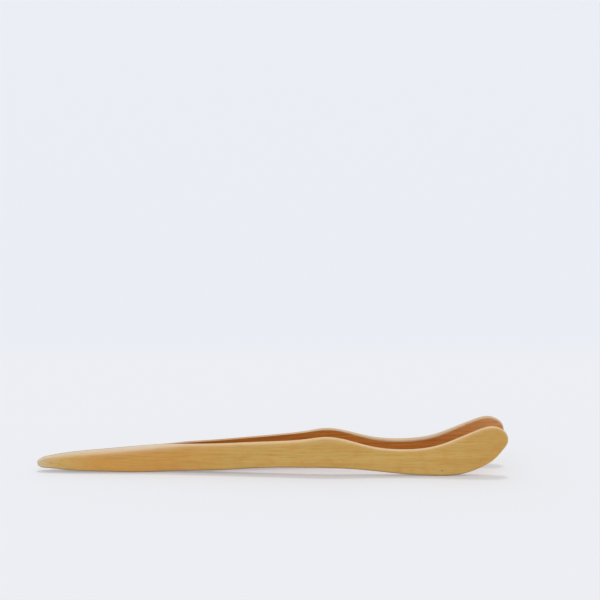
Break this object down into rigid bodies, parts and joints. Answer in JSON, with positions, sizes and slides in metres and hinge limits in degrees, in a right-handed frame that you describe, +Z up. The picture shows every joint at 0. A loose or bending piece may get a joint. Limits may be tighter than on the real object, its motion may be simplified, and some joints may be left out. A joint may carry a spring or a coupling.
{
  "type": "bamboo tongs",
  "caption": "Sprung bamboo tongs: slim wavy arms glued face to face at a pointed end and bowed apart to broad upturned jaws that close when squeezed.",
  "frame": {"origin": "bottom centre of the bounding box of the whole tongs, standing on the lower edges of both arms", "axes": "+X along the tongs from the glued point to the jaws, +Y across the gap from the front arm to the back arm, +Z up"},
  "size_m": [0.18, 0.0204, 0.0188],
  "materials": {
    "bamboo": "sanded bamboo, satin, with fine fibres along its length",
    "glue": "thin cured wood glue, dull amber brown"
  },
  "bodies": {
    "joined_end": {"front_arm_root": "bamboo", "back_arm_root": "bamboo", "glue_line": "glue"},
    "front_arm": {"front_arm_blade": "bamboo"},
    "back_arm": {"back_arm_blade": "bamboo"}
  },
  "joints": [
    {"name": "front_arm_flex", "type": "hinge", "parent": "joined_end", "child": "front_arm", "pos_m": [-0.02305, -0.00328, 0.0058], "axis": [0, 0, 1], "range_deg": [-1.5, 2.95], "stiffness_Nm_per_rad": 5.3},
    {"name": "back_arm_flex", "type": "hinge", "parent": "joined_end", "child": "back_arm", "pos_m": [-0.02305, 0.00328, 0.0058], "axis": [0, 0, -1], "range_deg": [-1.5, 2.95], "stiffness_Nm_per_rad": 5.3}
  ]
}
